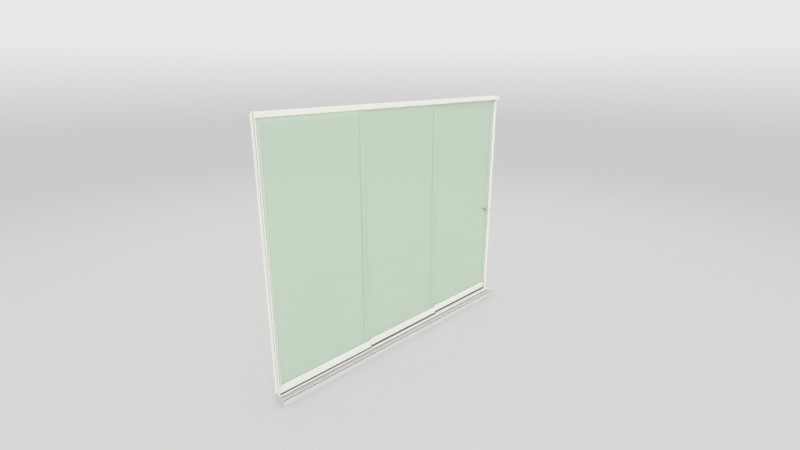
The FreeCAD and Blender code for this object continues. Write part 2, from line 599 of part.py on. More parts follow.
def shoe_liner(row):
    """U-shaped glazing liner between the glass and the shoe, with lips over the shoe's walls."""
    y = LEAF_Y[row]
    inner = GLASS / 2
    outer = SHOE_CAVITY / 2
    lip = SHOE_THICKNESS / 2 - SHOE_EDGE_RADIUS
    outline = [(y - outer, SHOE_SEAT, 0), (y + outer, SHOE_SEAT, 0), (y + outer, SHOE_TOP, 0),
               (y + lip, SHOE_TOP, 0), (y + inner, SHOE_TOP + LINER_LIP, 0), (y + inner, GLASS_BOTTOM, 0),
               (y - inner, GLASS_BOTTOM, 0), (y - inner, SHOE_TOP + LINER_LIP, 0),
               (y - lip, SHOE_TOP, 0), (y - outer, SHOE_TOP, 0)]
    return along_x(outline, LEAF_X[row] + SHOE_CAP, LEAF_WIDTH - 2 * SHOE_CAP)


def bottom_brushes(row):
    """Pile strips inside both walls of the shoe, down to just above the floor track."""
    y = LEAF_Y[row]
    inner = SHOE_CAVITY / 2
    x_range = (LEAF_X[row] + SHOE_CAP, LEAF_X[row] + LEAF_WIDTH - SHOE_CAP)
    z_range = (TRACK_TOP + BRUSH_ABOVE_TRACK, SHOE_BOTTOM + BRUSH_HELD)
    return [block(x_range, (y - inner, y - inner + BRUSH_THICKNESS), z_range),
            block(x_range, (y + inner - BRUSH_THICKNESS, y + inner), z_range)]


def carriage_centres(row):
    """Places along X of the two roller carriages of a leaf."""
    reach = CARRIAGE_FROM_END + CARRIAGE_LENGTH / 2
    return LEAF_X[row] + reach, LEAF_X[row] + LEAF_WIDTH - reach


def carriages(row):
    """Carriage bodies under the glass seat, each with lead-ins, two roller wells and axles."""
    y = LEAF_Y[row]
    half = SHOE_CAVITY / 2 - CARRIAGE_SIDE_GAP
    top = SHOE_SEAT - SHOE_SEAT_THICKNESS
    bodies = []
    for centre in carriage_centres(row):
        left = centre - CARRIAGE_LENGTH / 2
        right = centre + CARRIAGE_LENGTH / 2
        bottom = top - CARRIAGE_HEIGHT
        body = along_y([(left, top, 0), (left, bottom + CARRIAGE_LEAD_IN, 0),
                        (left + CARRIAGE_LEAD_IN, bottom, 0), (right - CARRIAGE_LEAD_IN, bottom, 0),
                        (right, bottom + CARRIAGE_LEAD_IN, 0), (right, top, 0)], y - half, 2 * half)
        for side in (-1, 1):
            x = centre + side * ROLLER_SPACING / 2
            well_radius = ROLLER_RADIUS + ROLLER_WELL_GAP
            well_half = ROLLER_WIDTH / 2 + ROLLER_SIDE_GAP
            well = Part.makeCylinder(well_radius, 2 * well_half, Vector(x, y - well_half, ROLLER_Z),
                                     Vector(0, 1, 0))
            body = body.cut(well)
            axle = Part.makeCylinder(AXLE_RADIUS, 2 * half, Vector(x, y - half, ROLLER_Z), Vector(0, 1, 0))
            body = body.fuse(axle)
        bodies.append(body.removeSplitter())
    return bodies


def rollers(row):
    """Grooved rollers that run on the ridge."""
    y = LEAF_Y[row]
    half = ROLLER_WIDTH / 2
    groove_half = RIDGE_WIDTH / 2
    wheels = []
    for centre in carriage_centres(row):
        for side in (-1, 1):
            x = centre + side * ROLLER_SPACING / 2
            inner = AXLE_RADIUS + AXLE_GAP
            floor = ROLLER_RADIUS - ROLLER_GROOVE_DEPTH
            section = [(inner, -half), (ROLLER_RADIUS, -half), (floor, -half + ROLLER_RIM_SLOPE),
                       (floor, half - ROLLER_RIM_SLOPE), (ROLLER_RADIUS, half), (inner, half)]
            points = [Vector(x + radius, y + across, ROLLER_Z) for radius, across in section]
            face = Part.Face(Part.makePolygon(points + points[:1]))
            wheels.append(face.revolve(Vector(x, y, ROLLER_Z), Vector(0, 1, 0), 360))
    return wheels


def top_guide(row):
    """Guide channel over the top edge of the glass, hidden in the head track."""
    y = LEAF_Y[row]
    outer = GLASS / 2 + GUIDE_WALL
    inner = GLASS / 2
    top = GLASS_TOP + GUIDE_TOP
    bottom = top - GUIDE_HEIGHT
    outline = [(y - outer, bottom, 0), (y - inner, bottom, 0), (y - inner, GLASS_TOP, 0),
               (y + inner, GLASS_TOP, 0), (y + inner, bottom, 0), (y + outer, bottom, 0),
               (y + outer, top, GUIDE_ROUND), (y - outer, top, GUIDE_ROUND)]
    return along_x(outline, LEAF_X[row], LEAF_WIDTH)


def catch(meeting_x, way, row, side):
    """Catch on a shoe's face. It meets its neighbour at meeting_x and ramps down to the shoe along way.
    side is -1 on the front and 1 on the rear."""
    face = LEAF_Y[row] + side * SHOE_THICKNESS / 2
    tip = face + side * CATCH_REACH
    far_x = meeting_x + way * CATCH_LENGTH
    outline = [(meeting_x, face, 0), (meeting_x, tip, 0), (far_x - way * CATCH_RAMP, tip, 0),
               (far_x, face + side * CATCH_EDGE, 0), (far_x, face, 0)]
    return along_z(outline, SHOE_BOTTOM + CATCH_FROM_SHOE_BOTTOM, CATCH_HEIGHT)


def rear_catch(row):
    """Catch on the rear of a leaf's right end, which the next leaf's front catch meets."""
    overlap_middle = LEAF_X[row] + LEAF_WIDTH - LEAF_OVERLAP / 2
    return catch(overlap_middle + CATCH_GAP / 2, 1, row, 1)


def front_catch(row):
    """Catch on the front of a leaf's left end."""
    overlap_middle = LEAF_X[row] + LEAF_OVERLAP / 2
    return catch(overlap_middle - CATCH_GAP / 2, -1, row, -1)


def knob(side):
    """Knob head with bevelled rims, in front of (-1) or behind (1) the glass."""
    start = LEAF_Y[RIGHT] + side * (GLASS / 2 + ROSETTE_THICKNESS + NECK_LENGTH)
    head = Part.makeCylinder(KNOB_RADIUS, KNOB_LENGTH, Vector(KNOB_X, start, KNOB_ABOVE_GROUND),
                             Vector(0, side, 0))
    rims = [edge for edge in head.Edges if isinstance(edge.Curve, Part.Circle)]
    return head.makeChamfer(KNOB_BEVEL, rims)


def knob_neck(side):
    """Slim dark neck between the rosette and the knob head."""
    start = LEAF_Y[RIGHT] + side * (GLASS / 2 + ROSETTE_THICKNESS)
    return Part.makeCylinder(NECK_RADIUS, NECK_LENGTH, Vector(KNOB_X, start, KNOB_ABOVE_GROUND),
                             Vector(0, side, 0))


def knob_bolt():
    """Bolt through the glass hole, between the rosettes."""
    start = LEAF_Y[RIGHT] - GLASS / 2
    return Part.makeCylinder(KNOB_BOLT_RADIUS, GLASS, Vector(KNOB_X, start, KNOB_ABOVE_GROUND),
                             Vector(0, 1, 0))


def knob_rosette(side):
    """Rosette on the glass, with a bevelled outer rim."""
    start = LEAF_Y[RIGHT] + side * GLASS / 2
    plate = Part.makeCylinder(ROSETTE_RADIUS, ROSETTE_THICKNESS, Vector(KNOB_X, start, KNOB_ABOVE_GROUND),
                              Vector(0, side, 0))
    rims = [edge for edge in plate.Edges if isinstance(edge.Curve, Part.Circle)]
    outer_rim = max(rims, key=lambda rim: side * rim.Curve.Center.y)
    return plate.makeChamfer(ROSETTE_BEVEL, [outer_rim])


os.makedirs("parts", exist_ok=True)

save("threshold_base", threshold_base())
save("threshold_end_cap_left", threshold_cap(LEFT_PLANE, LEFT_PLANE, 1))
save("threshold_end_cap_right", threshold_cap(RIGHT_PLANE - THRESHOLD_CAP, RIGHT_PLANE, -1))
save("floor_track", floor_track())
save("head_track", head_track())
save("head_end_cap", head_cap())
save("head_brush_seals", *head_brushes())
save("side_profile_left", side_profile_left())
save("side_profile_right", side_profile_right())
save("side_gasket_left", *side_gasket_left())
save("side_brush_right", *side_brush_right())

middle_stop, middle_buffer = end_stop(LEAF_X[MIDDLE] - MIDDLE_TRAVEL - MOVING_CLEARANCE, LEAF_Y[MIDDLE])
right_stop, right_buffer = end_stop(LEAF_X[RIGHT] - MIDDLE_TRAVEL - RIGHT_TRAVEL - MOVING_CLEARANCE,
                                    LEAF_Y[RIGHT])
save("end_stops", middle_stop, right_stop)
save("end_stop_buffers", middle_buffer, right_buffer)

for row, leaf in enumerate(("left_leaf", "middle_leaf", "right_leaf")):
    save(leaf + "_glass", glass_pane(row))
    save(leaf + "_shoe", glass_shoe(row))
    save(leaf + "_shoe_caps", *shoe_caps(row))
    save(leaf + "_glazing_liner", shoe_liner(row))
    save(leaf + "_bottom_brushes", *bottom_brushes(row))
    save(leaf + "_roller_carriages", *carriages(row))
    save(leaf + "_rollers", *rollers(row))
    save(leaf + "_top_guide", top_guide(row))

save("left_leaf_catch", rear_catch(LEFT))
save("middle_leaf_catches", front_catch(MIDDLE), rear_catch(MIDDLE))
save("right_leaf_catch", front_catch(RIGHT))

save("knob_front", knob(-1))
save("knob_rear", knob(1))
save("knob_necks", knob_neck(-1), knob_neck(1))
save("knob_bolt", knob_bolt())
save("knob_rosettes", knob_rosette(-1), knob_rosette(1))
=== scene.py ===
import json
import math

import bmesh
import bpy
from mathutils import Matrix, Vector


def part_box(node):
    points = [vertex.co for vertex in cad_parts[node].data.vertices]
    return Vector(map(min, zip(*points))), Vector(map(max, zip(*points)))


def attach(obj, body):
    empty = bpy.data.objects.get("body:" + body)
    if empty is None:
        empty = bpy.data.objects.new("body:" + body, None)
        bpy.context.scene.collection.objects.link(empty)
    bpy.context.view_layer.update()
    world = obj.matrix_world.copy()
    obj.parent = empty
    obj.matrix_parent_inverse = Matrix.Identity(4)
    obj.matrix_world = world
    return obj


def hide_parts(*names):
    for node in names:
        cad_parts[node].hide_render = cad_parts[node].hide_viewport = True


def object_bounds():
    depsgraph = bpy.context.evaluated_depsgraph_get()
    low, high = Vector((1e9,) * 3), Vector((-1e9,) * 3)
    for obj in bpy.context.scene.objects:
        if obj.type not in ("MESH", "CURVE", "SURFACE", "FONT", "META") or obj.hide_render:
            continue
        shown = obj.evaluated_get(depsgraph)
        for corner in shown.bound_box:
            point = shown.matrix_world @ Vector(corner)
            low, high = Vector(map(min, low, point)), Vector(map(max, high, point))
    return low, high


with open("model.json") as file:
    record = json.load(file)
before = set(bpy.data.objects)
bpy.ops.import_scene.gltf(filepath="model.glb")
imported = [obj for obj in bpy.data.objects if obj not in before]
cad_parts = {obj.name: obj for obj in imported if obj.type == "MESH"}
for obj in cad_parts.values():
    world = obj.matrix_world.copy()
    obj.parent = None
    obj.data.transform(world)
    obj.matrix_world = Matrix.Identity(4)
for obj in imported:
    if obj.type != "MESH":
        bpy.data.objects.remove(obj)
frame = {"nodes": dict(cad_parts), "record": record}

# Glass sliding patio door: finishes, brushes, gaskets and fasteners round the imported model.
# Metres. X runs along the door, Y from outdoors (front) to indoors (rear), Z up.

CAD_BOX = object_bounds()

# Camera, solved from the picture's perspective, in real metres in the door's frame
CAMERA_PLACE = Vector((-3.2038, -3.1435, 2.7153))
CAMERA_YAW = math.radians(45.0)
CAMERA_PITCH_DOWN = math.radians(18.0)
SENSOR_WIDTH_MM = 36.0
FOCAL_LENGTH_MM = 21.713

# Light: an even bright surrounding and one wide soft lamp from the camera's side
WORLD_STRENGTH = 0.97
KEY_STRENGTH = 0.97
KEY_WIDTH = math.radians(50.0)
KEY_ELEVATION = math.radians(20.0)
KEY_AZIMUTH = math.radians(-40.0)

# Floor and backdrop
FLOOR_RADIUS = 22.0
WALL_RADIUS = 26.0
WALL_TOP = 16.0
FLOOR_RINGS = (0.0, 3.0, 8.0)
COVE_STEPS = 24
SHEET_STEPS = 96
FLOOR_NEAR_HEX = "D5D6D4"
FLOOR_FAR_HEX = "CBCBCB"
WALL_TOP_HEX = "E8E8E8"
NEAR_RADIUS = 3.5
FAR_RADIUS = 11.0
RAMP_TOP = 3.9

# Glass: the tint's colour, how much each face of a pane covers, and the colour along its edges
GLASS_FACE_HEX = "BFD3BD"
GLASS_FACE_COVER = 0.5
GLASS_EDGE_HEX = "17291F"
# Painted light: the tint lightens towards the head, and more just under it, against the head's shade
GLASS_PAINTED_RISE_FROM = 1.0
GLASS_PAINTED_RISE_TO = 2.4
GLASS_PAINTED_RISE_SHARE = 0.06
GLASS_PAINTED_GLOW_FROM = 2.32
GLASS_PAINTED_GLOW_TO = 2.385
GLASS_PAINTED_GLOW_SHARE = 0.13
GLASS_RIPPLE_SIZE = 0.4
GLASS_FACE_TURN = 0.9

# Pattern sizes of the other finishes, the height of the painted foot shade and how finely hollows are sampled
COAT_DRIFT_SIZE = 0.35
COAT_PEEL_SIZE = 0.0015
FOOT_SHADE_HEIGHT = 0.03
VINYL_DRAW_LENGTH = 0.05
VINYL_DRAW_SPACING = 0.0004
VINYL_HEX = "F4F7F0"
PILE_TONE_SIZE = 0.002
HOLLOW_SAMPLES = 8

# Threshold joint: the rubber profile pressed into the groove in the nose's outer face
JOINT_BACK = -0.0523
JOINT_EDGE = -0.0584
JOINT_CROWN = -0.0589
JOINT_LOW = 0.0584
JOINT_HIGH = 0.064
JOINT_CORNER = 0.0006

# Black rubber strips between the running ridges: front and back, then left and right end. Each lies in
# front of a closed leaf's shoe, where no other leaf's pile runs, as painted shade under that shoe.
PAINTED_SHADE_STRIPS = (((0.0132, 0.0215), (-0.45, 0.52)), ((0.0307, 0.039), (0.53, 1.43)))
SLOT_FLOOR = 0.0825
SLOT_STRIP_TOP = 0.083
SLOT_STRIP_ROUND = 0.0006

# Fin gasket on the outer face of a leaf, beside the edge that passes its neighbour: a painted highlight,
# a light line beside the pane's dark edge
FIN_FOOT_FROM_EDGE = 0.014
FIN_FOOT_WIDTH = 0.009
FIN_FOOT_THICKNESS = 0.0012
FIN_ROOT_WIDTH = 0.0014
FIN_TIP_WIDTH = 0.0007
FIN_REACH = 0.004

# Gap left above the shoe and under the head at the ends of a leaf's painted-highlight fin gasket and
# painted-light cover strip
UPRIGHT_END_GAP = 0.004

# Clear cover strips on the outer faces of the panes, where they enter the side profiles: painted light
# that lightens the panes where the profiles shade them
LIGHT_STRIP_THICKNESS = 0.0008
LIGHT_STRIP_LEFT = (-1.492, -1.4675)
LIGHT_STRIP_RIGHT = (1.432, 1.4565)

# Screws, from their heads down: countersunk ones in the caps and profiles, capped ones in the end stops,
# and grub screws in the knob's necks
COUNTERSUNK = {"Head Radius": 0.0034, "Root Radius": 0.0021, "Head Depth": 0.0016, "Socket Radius": 0.0014}
CAPPED = {"Head Radius": 0.003, "Root Radius": 0.003, "Head Depth": 0.0033, "Socket Radius": 0.0015}
GRUB = {"Head Radius": 0.0016, "Root Radius": 0.0016, "Head Depth": 0.0012, "Socket Radius": 0.0008}
SCREW_SINK = 0.00005
HEAD_SCREWS = [(0.00135, 2.41715), (0.05415, 2.41715)]
THRESHOLD_SCREWS = [(-0.05315, 0.00585), (0.05315, 0.00585), (0.05315, 0.06515)]
STOP_SCREWS = [(-1.474, 0.02825, 0.104), (-1.349, 0.04575, 0.104)]
GRUB_SCREWS = [(1.39, 0.0125, 1.12195), (1.39, 0.079, 1.12195)]
HEAD_SIDES = 28

# Axes along the door and up, by number
ALONG = 0
UPRIGHT = 2

# Brush strips: how far apart and how thick the tufts are, and how they stand. One tuft stands for many
# fibres.
TUFT_PITCH = 0.0011
TUFT_RADIUS = 0.0005
TUFT_LEAN = math.radians(9.0)
CORE_SHARE = 0.96
HEAD_TUFT_PITCH = 0.0024
HEAD_TUFT_RADIUS = 0.0009
SIDE_TUFT_PITCH = 0.0012
SIDE_TUFT_RADIUS = 0.0006
BOTTOM_TUFTS_PAST = 0.0012
TUFT_ROWS = (0.0, 0.5, 1.0)
TUFT_SIDES = 4
TUFT_TIP_SHARE = 0.6
SHORTEST_TUFT_SHARE = 0.86


def linear(text):
    """Linear colour, with alpha 1, of an sRGB hex value."""
    parts = [int(text[start:start + 2], 16) / 255 for start in (0, 2, 4)]
    curve = [part / 12.92 if part <= 0.04045 else ((part + 0.055) / 1.055) ** 2.4 for part in parts]
    return (*curve, 1.0)


def add(tree, kind, settings=None, **inputs):
    """Adds a node. settings are its properties, inputs its sockets (spaces written as _, and a number after _
    for the socket at that place), as values or links."""
    made = tree.nodes.new(kind)
    for name, value in (settings or {}).items():
        setattr(made, name, value)
    for name, value in inputs.items():
        key = int(name[1:]) if name[0] == "_" else name.replace("_", " ")
        socket = made.inputs[key]
        if isinstance(value, bpy.types.NodeSocket):
            tree.links.new(value, socket)
        else:
            socket.default_value = value
    return made


def new_material(name):
    """Empty node material and its tree."""
    material = bpy.data.materials.new(name)
    material.use_nodes = True
    material.node_tree.nodes.clear()
    return material, material.node_tree


def finish_material(tree, shader):
    output = add(tree, "ShaderNodeOutputMaterial")
    tree.links.new(shader, output.inputs["Surface"])


def powder_coat(name, hex_colour, shade_reach, full_shade_share, drift_share=0.02, foot_shade_share=1.0):
    """Aluminium extrusion with a satin polyester powder coat: a soft even sheen over a fine orange peel.
    Peel cells are about 1.5 mm. The tone drifts a little along a length, and the foot share darkens the
    lowest 30 mm with painted shade near the floor. Painted shade darkens grooves and corners within the
    shade reach: it is full where less than the given share of the surroundings is open."""
    material, tree = new_material(name)
    place = add(tree, "ShaderNodeTexCoord").outputs["Object"]
    drift = add(tree, "ShaderNodeTexNoise", Vector=place, Scale=1 / COAT_DRIFT_SIZE, Detail=2.0)
    tone = add(tree, "ShaderNodeMapRange", Value=drift.outputs["Fac"], To_Min=1 - drift_share,
               To_Max=1 + drift_share)
    # Painted shade: grooves and corners are darkened where the surroundings are closed in
    hollow = add(tree, "ShaderNodeAmbientOcclusion", {"only_local": True, "samples": HOLLOW_SAMPLES},
                 Distance=shade_reach)
    hollow_shade = add(tree, "ShaderNodeMapRange", Value=hollow.outputs["AO"], From_Min=full_shade_share,
               From_Max=0.95, To_Min=0.08, To_Max=1.0)
    height = add(tree, "ShaderNodeSeparateXYZ", Vector=place)
    # Painted shade: the lowest 30 mm is darkened towards the floor
    foot = add(tree, "ShaderNodeMapRange", Value=height.outputs["Z"], From_Min=0.0, From_Max=FOOT_SHADE_HEIGHT,
               To_Min=foot_shade_share, To_Max=1.0)
    shaded = add(tree, "ShaderNodeMath", {"operation": "MULTIPLY"}, _0=hollow_shade.outputs["Result"],
                 _1=foot.outputs["Result"])
    share = add(tree, "ShaderNodeMath", {"operation": "MULTIPLY"}, _0=tone.outputs["Result"],
                _1=shaded.outputs["Value"])
    colour = add(tree, "ShaderNodeVectorMath", {"operation": "SCALE"}, _0=linear(hex_colour)[:3],
                 Scale=share.outputs["Value"])
    peel = add(tree, "ShaderNodeTexNoise", Vector=place, Scale=1 / COAT_PEEL_SIZE, Detail=1.0)
    bump = add(tree, "ShaderNodeBump", Height=peel.outputs["Fac"], Strength=0.05, Distance=0.0002)
    rough = add(tree, "ShaderNodeMapRange", Value=peel.outputs["Fac"], To_Min=0.38, To_Max=0.48)
    shader = add(tree, "ShaderNodeBsdfPrincipled", Base_Color=colour.outputs["Vector"],
                 Roughness=rough.outputs["Result"], Normal=bump.outputs["Normal"], IOR=1.5)
    finish_material(tree, shader.outputs["BSDF"])
    return material


def float_glass():
    """Toughened float glass, 8 mm, with a pale green satin tone that evens out what is behind it.
    The tone lightens by a few hundredths towards the head, and more in the last 65 mm under it, as painted
    light that offsets the head's shade on the pane.
    Its ground and polished edges are a darker green, because they are seen through the pane's width.
    Light from lamps passes, so that what stands behind a pane is lit as if nothing were in front."""
    material, tree = new_material("pale_green_toughened_glass")
    place = add(tree, "ShaderNodeTexCoord").outputs["Object"]
    surface = add(tree, "ShaderNodeNewGeometry")
    normal = add(tree, "ShaderNodeSeparateXYZ", Vector=surface.outputs["True Normal"])
    across = add(tree, "ShaderNodeMath", {"operation": "ABSOLUTE"}, _0=normal.outputs["Y"])
    inner = add(tree, "ShaderNodeMath", {"operation": "ADD"}, _0=across.outputs["Value"],
                _1=surface.outputs["Backfacing"])
    is_edge = add(tree, "ShaderNodeMath", {"operation": "LESS_THAN"}, _0=inner.outputs["Value"],
                  _1=GLASS_FACE_TURN)
    ripple = add(tree, "ShaderNodeTexNoise", Vector=place, Scale=1 / GLASS_RIPPLE_SIZE, Detail=0.0)
    bump = add(tree, "ShaderNodeBump", Height=ripple.outputs["Fac"], Strength=0.2, Distance=0.0004)
    height = add(tree, "ShaderNodeSeparateXYZ", Vector=place)
    # Painted light: the tint lightens towards the head, and more in the last 65 mm under it, against its
    # shade
    rise = add(tree, "ShaderNodeMapRange", Value=height.outputs["Z"], From_Min=GLASS_PAINTED_RISE_FROM,
               From_Max=GLASS_PAINTED_RISE_TO, To_Min=1.0, To_Max=1 + GLASS_PAINTED_RISE_SHARE)
    painted_glow = add(tree, "ShaderNodeMapRange", {"interpolation_type": "SMOOTHSTEP"}, Value=height.outputs["Z"],
               From_Min=GLASS_PAINTED_GLOW_FROM, From_Max=GLASS_PAINTED_GLOW_TO, To_Min=1.0, To_Max=1 + GLASS_PAINTED_GLOW_SHARE)
    painted_lift = add(tree, "ShaderNodeMath", {"operation": "MULTIPLY"}, _0=rise.outputs["Result"],
               _1=painted_glow.outputs["Result"])
    tint = add(tree, "ShaderNodeVectorMath", {"operation": "SCALE"}, _0=linear(GLASS_FACE_HEX)[:3],
               Scale=painted_lift.outputs["Value"])
    face = add(tree, "ShaderNodeBsdfPrincipled", Base_Color=tint.outputs["Vector"], Roughness=0.06,
               IOR=1.52, Alpha=GLASS_FACE_COVER, Normal=bump.outputs["Normal"])
    edge = add(tree, "ShaderNodeBsdfPrincipled", Base_Color=linear(GLASS_EDGE_HEX), Roughness=0.15, IOR=1.52)
    pane = add(tree, "ShaderNodeMixShader", _0=is_edge.outputs["Value"], _1=face.outputs["BSDF"],
               _2=edge.outputs["BSDF"])
    path = add(tree, "ShaderNodeLightPath")
    clear = add(tree, "ShaderNodeBsdfTransparent").outputs["BSDF"]
    soft = add(tree, "ShaderNodeMixShader", _0=path.outputs["Is Diffuse Ray"], _1=pane.outputs["Shader"],
               _2=clear)
    lit = add(tree, "ShaderNodeMixShader", _0=path.outputs["Is Shadow Ray"], _1=soft.outputs["Shader"],
              _2=clear)
    finish_material(tree, lit.outputs["Shader"])
    return material


def moulded_plastic(name, hex_colour, roughness, grain_size=0.0006, ior=1.53, shade_reach=0.012):
    """Moulded plastic or rubber: an even fine grain of grain_size, a soft sheen, and painted shade in its
    hollows.
    """
    material, tree = new_material(name)
    place = add(tree, "ShaderNodeTexCoord").outputs["Object"]
    grain = add(tree, "ShaderNodeTexNoise", Vector=place, Scale=1 / grain_size, Detail=2.0)
    bump = add(tree, "ShaderNodeBump", Height=grain.outputs["Fac"], Strength=0.15, Distance=0.0001)
    rough = add(tree, "ShaderNodeMapRange", Value=grain.outputs["Fac"], To_Min=roughness - 0.06,
                To_Max=roughness + 0.06)
    # Painted shade: hollows are darkened where the surroundings are closed in
    hollow = add(tree, "ShaderNodeAmbientOcclusion", {"only_local": True, "samples": HOLLOW_SAMPLES},
                 Distance=shade_reach)
    hollow_shade = add(tree, "ShaderNodeMapRange", Value=hollow.outputs["AO"], From_Min=0.15, From_Max=0.85,
               To_Min=0.6, To_Max=1.0)
    colour = add(tree, "ShaderNodeVectorMath", {"operation": "SCALE"}, _0=linear(hex_colour)[:3],
                 Scale=hollow_shade.outputs["Result"])
    shader = add(tree, "ShaderNodeBsdfPrincipled", Base_Color=colour.outputs["Vector"],
                 Roughness=rough.outputs["Result"], Normal=bump.outputs["Normal"], IOR=ior)
    finish_material(tree, shader.outputs["BSDF"])
    return material


def clear_vinyl(name, cover):
    """Soft extruded PVC: milky, clearer where it is thin, as cover says, with faint draw lines about 0.4 mm
    apart."""
    material, tree = new_material(name)
    place = add(tree, "ShaderNodeTexCoord").outputs["Object"]
    lines = add(tree, "ShaderNodeMapping", Vector=place,
                Scale=(1 / VINYL_DRAW_LENGTH, 1 / VINYL_DRAW_SPACING, 1 / VINYL_DRAW_SPACING))
    draw = add(tree, "ShaderNodeTexNoise", Vector=lines.outputs["Vector"], Scale=1.0, Detail=1.0)
    bump = add(tree, "ShaderNodeBump", Height=draw.outputs["Fac"], Strength=0.2, Distance=0.0001)
    cloud = add(tree, "ShaderNodeMapRange", Value=draw.outputs["Fac"], To_Min=0.94, To_Max=1.04)
    colour = add(tree, "ShaderNodeVectorMath", {"operation": "SCALE"}, _0=linear(VINYL_HEX)[:3],
                 Scale=cloud.outputs["Result"])
    shader = add(tree, "ShaderNodeBsdfPrincipled", Base_Color=colour.outputs["Vector"], Roughness=0.3,
                 IOR=1.53, Alpha=cover, Normal=bump.outputs["Normal"])
    finish_material(tree, shader.outputs["BSDF"])
    return material


def pile(name, hex_colour):
    """Siliconised polypropylene pile: dull fibres whose tone changes from tuft to tuft, about 2 mm apart."""
    material, tree = new_material(name)
    place = add(tree, "ShaderNodeTexCoord").outputs["Object"]
    tufts = add(tree, "ShaderNodeTexNoise", Vector=place, Scale=1 / PILE_TONE_SIZE, Detail=3.0)
    tone = add(tree, "ShaderNodeMapRange", Value=tufts.outputs["Fac"], To_Min=0.6, To_Max=1.4)
    colour = add(tree, "ShaderNodeVectorMath", {"operation": "SCALE"}, _0=linear(hex_colour)[:3],
                 Scale=tone.outputs["Result"])
    shader = add(tree, "ShaderNodeBsdfPrincipled", Base_Color=colour.outputs["Vector"], Roughness=0.95,
                 Specular_IOR_Level=0.08, IOR=1.49)
    finish_material(tree, shader.outputs["BSDF"])
    return material


def brushed_steel(name, hex_colour, grain):
    """Stainless steel. grain is the size of its marks along each axis: long and close for grooves turned
    round a piece's axis, the same on all three for a plain tumbled finish."""
    material, tree = new_material(name)
    place = add(tree, "ShaderNodeTexCoord").outputs["Object"]
    lines = add(tree, "ShaderNodeMapping", Vector=place, Scale=[1 / size for size in grain])
    groove = add(tree, "ShaderNodeTexNoise", Vector=lines.outputs["Vector"], Scale=1.0, Detail=2.0)
    bump = add(tree, "ShaderNodeBump", Height=groove.outputs["Fac"], Strength=0.3, Distance=0.00005)
    rough = add(tree, "ShaderNodeMapRange", Value=groove.outputs["Fac"], To_Min=0.24, To_Max=0.4)
    shader = add(tree, "ShaderNodeBsdfPrincipled", Base_Color=linear(hex_colour), Metallic=1.0,
                 Roughness=rough.outputs["Result"], Normal=bump.outputs["Normal"])
    finish_material(tree, shader.outputs["BSDF"])
    return material


def stage_material():
    """Pale studio floor and backdrop. The floor darkens slowly with distance and the wall rises to a light
    grey."""
    material, tree = new_material("studio_backdrop")
    place = add(tree, "ShaderNodeSeparateXYZ", Vector=add(tree, "ShaderNodeTexCoord").outputs["Object"])
    flat = add(tree, "ShaderNodeCombineXYZ", X=place.outputs["X"], Y=place.outputs["Y"])
    radius = add(tree, "ShaderNodeVectorMath", {"operation": "LENGTH"}, _0=flat.outputs["Vector"])
    reach = add(tree, "ShaderNodeMapRange", {"interpolation_type": "SMOOTHSTEP"},
                Value=radius.outputs["Value"], From_Min=NEAR_RADIUS, From_Max=FAR_RADIUS)
    rise = add(tree, "ShaderNodeMapRange", Value=place.outputs["Z"], From_Min=0.0, From_Max=RAMP_TOP)
    floor = add(tree, "ShaderNodeMix", {"data_type": "RGBA"}, Factor=reach.outputs["Result"],
                _6=linear(FLOOR_NEAR_HEX), _7=linear(FLOOR_FAR_HEX))
    wall = add(tree, "ShaderNodeMix", {"data_type": "RGBA"}, Factor=rise.outputs["Result"],
               _6=floor.outputs[2], _7=linear(WALL_TOP_HEX))
    lit = add(tree, "ShaderNodeBsdfDiffuse", Color=wall.outputs[2])
    shown = add(tree, "ShaderNodeEmission", Color=wall.outputs[2])
    both = add(tree, "ShaderNodeMixShader", _0=reach.outputs["Result"], _1=lit.outputs["BSDF"],
               _2=shown.outputs["Emission"])
    finish_material(tree, both.outputs["Shader"])
    return material


def backdrop():
    """One round sheet: a flat floor, a cove and a wall, so that every view has the same plain background."""
    profile = [(radius, 0.0) for radius in (*FLOOR_RINGS, FLOOR_RADIUS)]
    cove = WALL_RADIUS - FLOOR_RADIUS
    for step in range(1, COVE_STEPS + 1):
        turn = step / COVE_STEPS * math.pi / 2
        profile.append((FLOOR_RADIUS + cove * math.sin(turn), cove * (1 - math.cos(turn))))
    profile.append((WALL_RADIUS, WALL_TOP))
    mesh = bmesh.new()
    line = [mesh.verts.new((radius, 0, height)) for radius, height in profile]
    edges = [mesh.edges.new(pair) for pair in zip(line, line[1:])]
    bmesh.ops.spin(mesh, geom=line + edges, cent=(0, 0, 0), axis=(0, 0, 1), angle=math.tau, steps=SHEET_STEPS)
    bmesh.ops.remove_doubles(mesh, verts=mesh.verts, dist=0.001)
    bmesh.ops.recalc_face_normals(mesh, faces=mesh.faces)
    data = bpy.data.meshes.new("studio_floor")
    mesh.to_mesh(data)
    mesh.free()
    for polygon in data.polygons:
        polygon.use_smooth = True
    data.materials.append(stage_material())
    sheet = bpy.data.objects.new("studio_floor", data)
    sheet.visible_shadow = False
    bpy.context.scene.collection.objects.link(sheet)


def camera():
    data = bpy.data.cameras.new("photo_camera")
    data.sensor_width = SENSOR_WIDTH_MM
    data.lens = FOCAL_LENGTH_MM
    data.clip_end = 200.0
    eye = bpy.data.objects.new("photo_camera", data)
    eye.location = CAMERA_PLACE
    eye.rotation_euler = (math.pi / 2 - CAMERA_PITCH_DOWN, 0, CAMERA_YAW - math.pi / 2)
    bpy.context.scene.collection.objects.link(eye)
    bpy.context.scene.camera = eye


